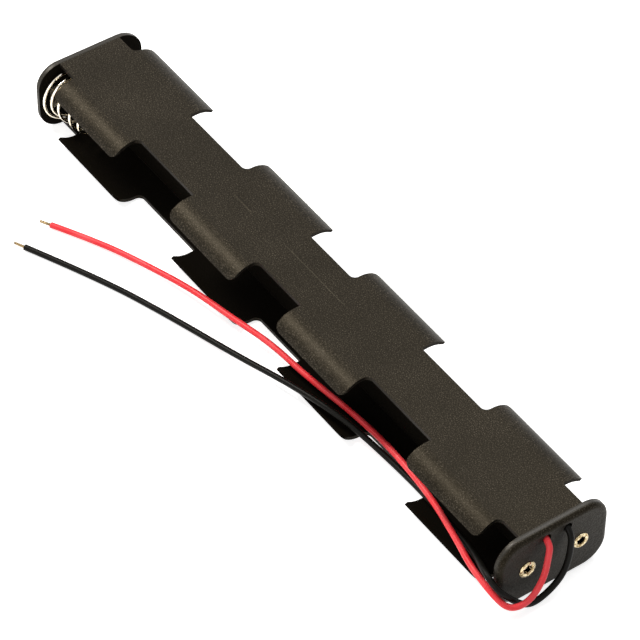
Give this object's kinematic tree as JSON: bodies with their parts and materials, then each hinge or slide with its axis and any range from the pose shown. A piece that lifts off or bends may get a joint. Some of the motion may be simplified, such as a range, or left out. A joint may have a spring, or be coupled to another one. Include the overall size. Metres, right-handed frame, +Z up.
{
  "type": "cylindrical cell holder",
  "caption": "Long side-entry holder for round AA cells in two rows, with curved snap tabs, riveted spring contacts and free red and black leads.",
  "frame": {"origin": "on the surface that the holder stands on, under the middle of its overall box without the leads, which is also the middle of the moulding", "axes": "+X along the two rows of cells towards the end wall that the leads come out of, +Y across the rows away from the side that the leads lie along, +Z up"},
  "size_m": [0.2209, 0.0642, 0.0218],
  "materials": {
    "black_plastic": "fine grain, slightly satin",
    "nickel_plate": "satin nickel plating",
    "contact_sheet": "nickel-plated sheet",
    "spring_wire": "nickel-plated spring wire",
    "red_insulation": "soft satin",
    "black_insulation": "soft satin",
    "bare_strands": "fine tinned copper strands",
    "solder": "bright solder"
  },
  "bodies": {
    "root": {"holder_body": "black_plastic", "near_left_eyelet": "nickel_plate", "near_right_eyelet": "nickel_plate", "far_left_eyelet": "nickel_plate", "far_right_eyelet": "nickel_plate", "positive_contact": "contact_sheet", "negative_contact": "contact_sheet", "bridge_strip": "contact_sheet", "near_spring": "spring_wire", "far_spring": "spring_wire", "red_lead": "red_insulation", "red_lead_tip": "bare_strands", "black_lead": "black_insulation", "black_lead_tip": "bare_strands", "red_solder_joint": "solder", "black_solder_joint": "solder"}
  },
  "joints": []
}
